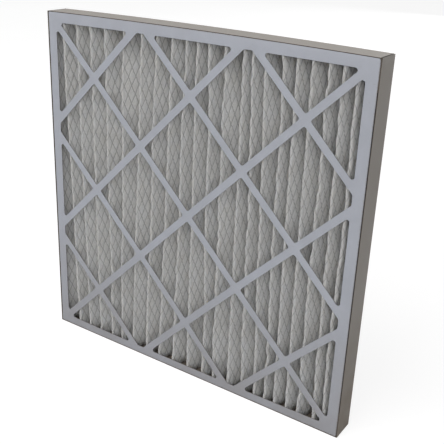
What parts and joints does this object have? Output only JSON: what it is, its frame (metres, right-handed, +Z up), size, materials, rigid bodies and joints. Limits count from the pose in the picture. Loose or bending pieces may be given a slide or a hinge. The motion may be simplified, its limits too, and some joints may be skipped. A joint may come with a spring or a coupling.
{
  "type": "pleated panel air filter",
  "caption": "Square pleated panel air filter: folded board frame with diamond lattice faces around a pleated media pack on an expanded metal grid.",
  "frame": {"origin": "middle of the bottom edge, half way through the depth", "axes": "+X across the panel, to the right seen from the front; +Y from the front (air-entering) face to the rear (air-leaving) face; +Z up along the pleats"},
  "size_m": [0.594, 0.0446, 0.594],
  "materials": {
    "front_board": "smooth coated white, kraft brown at cut edges",
    "rear_board": "smooth coated white, kraft brown at cut edges",
    "media": "lofted off-white fibre, quilted by the grid behind it",
    "grid": "galvanised"
  },
  "bodies": {
    "root": {"front_frame": "front_board", "rear_frame": "rear_board", "pleated_media": "media", "support_grid": "grid"}
  },
  "joints": []
}
